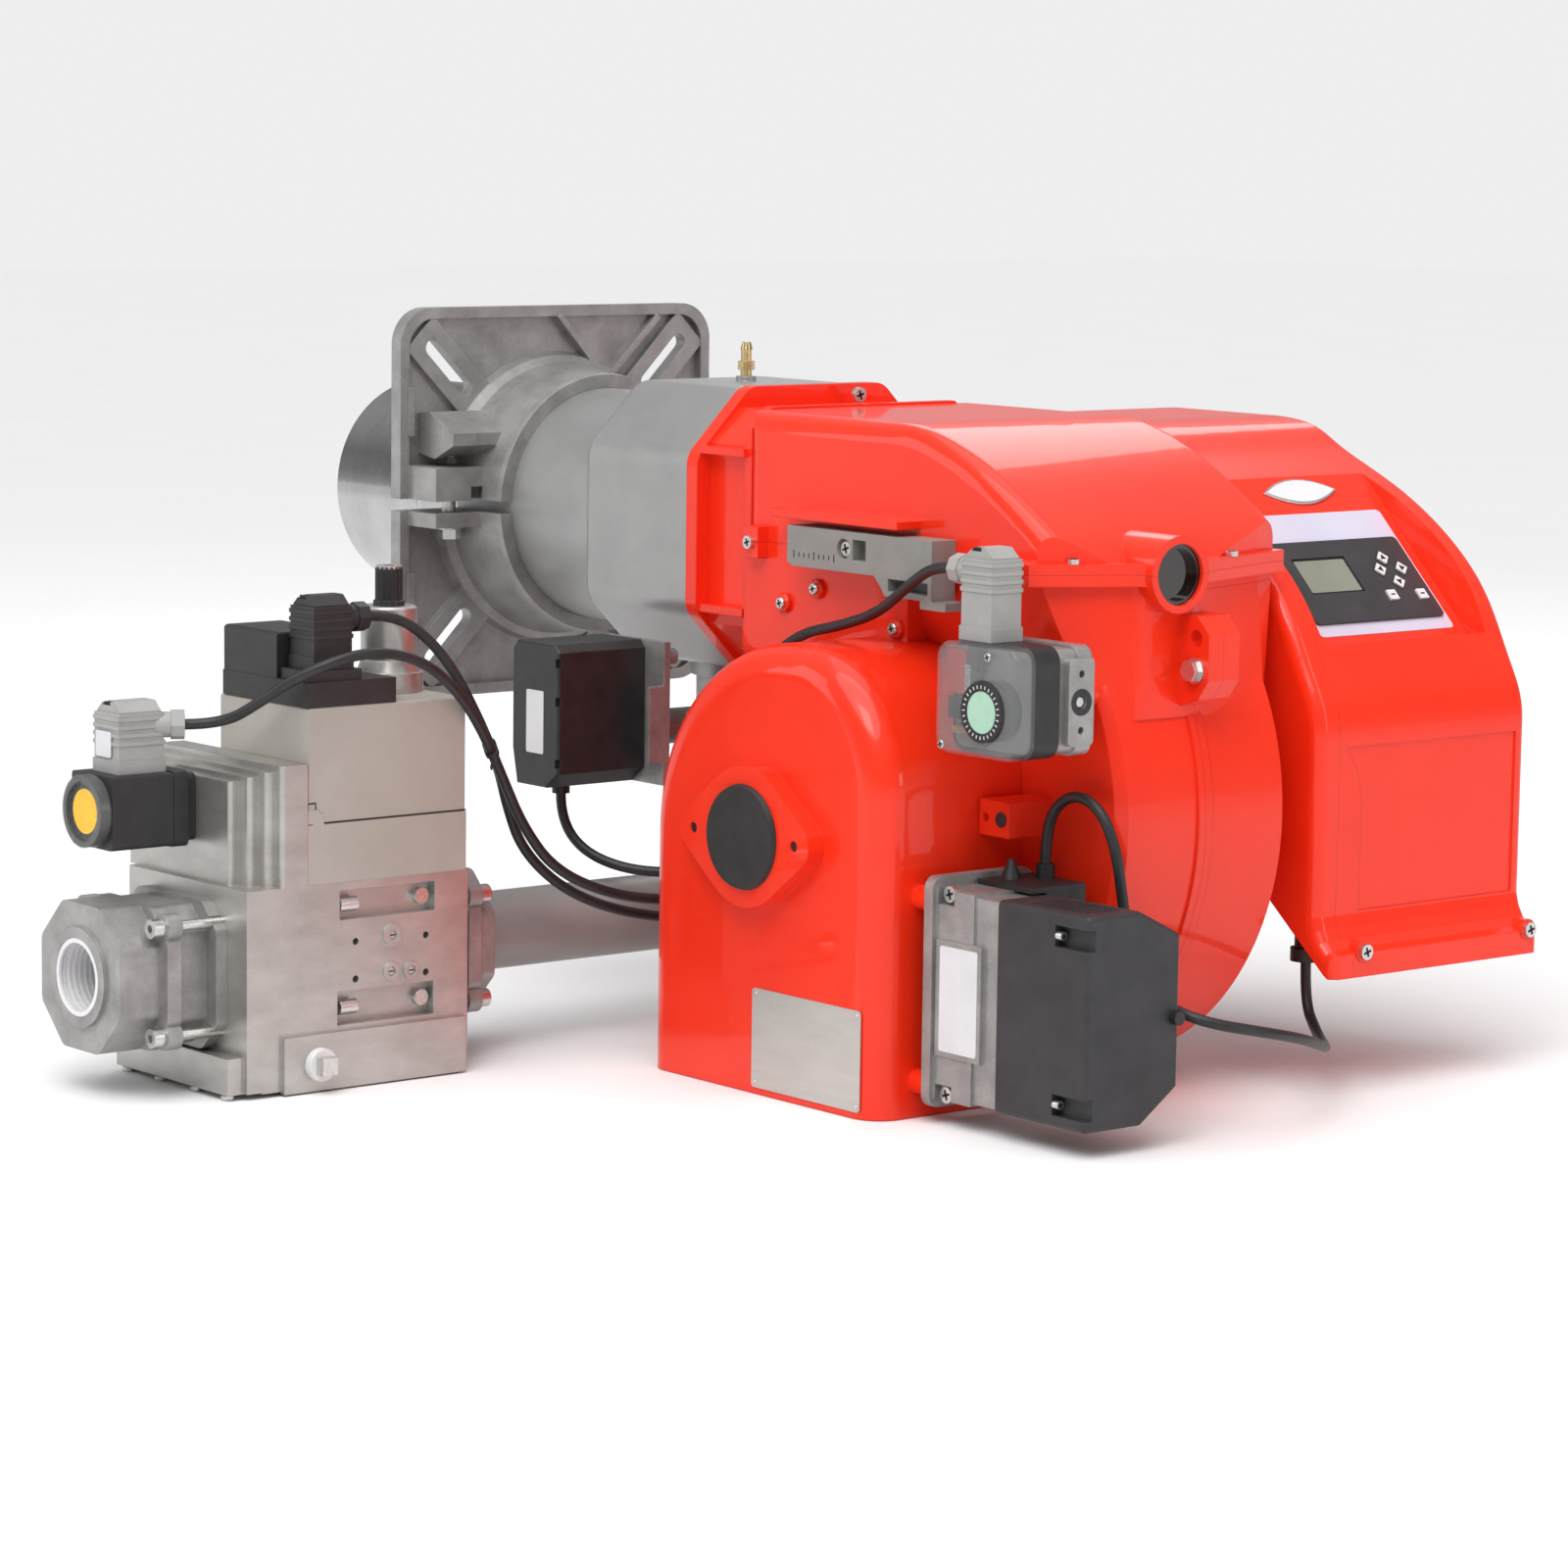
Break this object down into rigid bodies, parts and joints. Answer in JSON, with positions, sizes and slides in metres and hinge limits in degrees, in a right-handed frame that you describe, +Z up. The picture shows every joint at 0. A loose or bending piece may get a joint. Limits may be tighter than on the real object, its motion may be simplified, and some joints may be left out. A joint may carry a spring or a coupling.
{
  "type": "gas burner",
  "caption": "Industrial forced-draught gas burner: blast tube on a sliding clamp flange, red fan casing, air intake with motor-driven damper, gas valve train and control panel.",
  "frame": {"origin": "on the axis of the combustion head, at the face of the mounting flange that meets the boiler", "axes": "-X is the firing direction, +X the rear of the burner, +Z up, -Y the side of the gas train and the air intake"},
  "size_m": [1.08, 0.969, 0.553],
  "materials": {
    "red_paint": "gloss red paint on cast aluminium",
    "polished_steel": "polished",
    "grey_painted_steel": "satin",
    "cast_aluminium": "as cast",
    "satin_aluminium": "satin",
    "steel": "satin",
    "zinc_steel": "zinc plated",
    "brass": "bright",
    "ceramic": "glazed",
    "black_plastic": "matte",
    "grey_plastic": "matte",
    "beige_plastic": "satin",
    "clear_plastic": "clear",
    "dial_plastic": "satin",
    "key_rubber": "matte",
    "black_rubber": "matte",
    "motor_paint": "satin grey paint"
  },
  "bodies": {
    "burner": {"actuator_cable": "black_rubber", "air_switch_body": "cast_aluminium", "air_switch_cable": "black_rubber", "air_switch_case": "black_plastic", "air_switch_cover": "clear_plastic", "blast_tube": "polished_steel", "butterfly_actuator": "black_plastic", "butterfly_valve": "cast_aluminium", "cable_glands": "black_plastic", "cable_holder": "grey_plastic", "casing_fasteners": "zinc_steel", "casing_lid": "red_paint", "control_base": "red_paint", "control_cover": "red_paint", "diffuser_disc": "steel", "display_unit": "black_plastic", "electrodes": "ceramic", "fan_casing_far": "red_paint", "fan_casing_near": "red_paint", "fan_motor": "motor_paint", "gas_head": "steel", "gas_inlet_flange": "cast_aluminium", "gas_outlet_flange": "cast_aluminium", "gas_pipe": "grey_painted_steel", "gas_switch_body": "black_plastic", "gas_switch_cable": "black_rubber", "gas_train_fasteners": "zinc_steel", "head_housing": "satin_aluminium", "hydraulic_brake": "cast_aluminium", "motor_cowl": "motor_paint", "neck_tube": "satin_aluminium", "pressure_nipple": "brass", "rubber_plug": "black_rubber", "servo_base": "cast_aluminium", "servo_cable": "black_rubber", "servo_cover": "black_plastic", "sight_glass": "black_plastic", "solenoid_housing": "beige_plastic", "suction_box": "red_paint", "switch_connectors": "grey_plastic", "terminal_box": "black_plastic", "valve_block": "cast_aluminium", "valve_cable": "black_rubber", "valve_connector": "black_plastic"},
    "fan": {"fan_impeller": "steel", "motor_shaft": "steel"},
    "damper": {"air_damper": "steel"},
    "gas_throttle": {"butterfly_disc": "steel"},
    "flange": {"flange_upper": "cast_aluminium", "flange_lower": "cast_aluminium", "flange_clamp_bolts": "zinc_steel"},
    "air_dial": {"air_switch_dial": "dial_plastic"},
    "gas_dial": {"gas_switch_dial": "dial_plastic"},
    "brake_cap": {"brake_knob": "cast_aluminium"},
    "key_down_cap": {"key_down": "key_rubber"},
    "key_enter_cap": {"key_enter": "key_rubber"},
    "key_info_cap": {"key_info": "key_rubber"},
    "key_left_cap": {"key_left": "key_rubber"},
    "key_right_cap": {"key_right": "key_rubber"},
    "key_up_cap": {"key_up": "key_rubber"}
  },
  "joints": [
    {"name": "fan_spin", "type": "hinge", "parent": "burner", "child": "fan", "pos_m": [0.587, 0, -0.181], "axis": [0, 1, 0], "continuous": true},
    {"name": "air_damper_turn", "type": "hinge", "parent": "burner", "child": "damper", "pos_m": [0.557, -0.155, -0.3], "axis": [1, 0, 0], "range_deg": [0, 90]},
    {"name": "gas_butterfly_turn", "type": "hinge", "parent": "burner", "child": "gas_throttle", "pos_m": [0.275, 0, -0.159], "axis": [0, 1, 0], "range_deg": [0, 90]},
    {"name": "flange_slide", "type": "slide", "parent": "burner", "child": "flange", "axis": [1, 0, 0], "range_m": [0, 0.11]},
    {"name": "air_switch_set", "type": "hinge", "parent": "burner", "child": "air_dial", "pos_m": [0.766, -0.18, -0.091], "axis": [0, -1, 0], "range_deg": [0, 280]},
    {"name": "gas_switch_set", "type": "hinge", "parent": "burner", "child": "gas_dial", "pos_m": [0.263, -0.61, -0.187], "axis": [0, -1, 0], "range_deg": [0, 280]},
    {"name": "brake_set", "type": "hinge", "parent": "burner", "child": "brake_cap", "pos_m": [0.302, -0.372, -0.066], "axis": [0, 0, 1], "range_deg": [0, 330]},
    {"name": "key_down_press", "type": "slide", "parent": "burner", "child": "key_down_cap", "axis": [-0.7071, 0, -0.7071], "range_m": [0, 0.001], "stiffness_N_per_m": 600, "springref_m": -0.0008},
    {"name": "key_enter_press", "type": "slide", "parent": "burner", "child": "key_enter_cap", "axis": [-0.7071, 0, -0.7071], "range_m": [0, 0.001], "stiffness_N_per_m": 600, "springref_m": -0.0008},
    {"name": "key_info_press", "type": "slide", "parent": "burner", "child": "key_info_cap", "axis": [-0.7071, 0, -0.7071], "range_m": [0, 0.001], "stiffness_N_per_m": 600, "springref_m": -0.0008},
    {"name": "key_left_press", "type": "slide", "parent": "burner", "child": "key_left_cap", "axis": [-0.7071, 0, -0.7071], "range_m": [0, 0.001], "stiffness_N_per_m": 600, "springref_m": -0.0008},
    {"name": "key_right_press", "type": "slide", "parent": "burner", "child": "key_right_cap", "axis": [-0.7071, 0, -0.7071], "range_m": [0, 0.001], "stiffness_N_per_m": 600, "springref_m": -0.0008},
    {"name": "key_up_press", "type": "slide", "parent": "burner", "child": "key_up_cap", "axis": [-0.7071, 0, -0.7071], "range_m": [0, 0.001], "stiffness_N_per_m": 600, "springref_m": -0.0008}
  ]
}
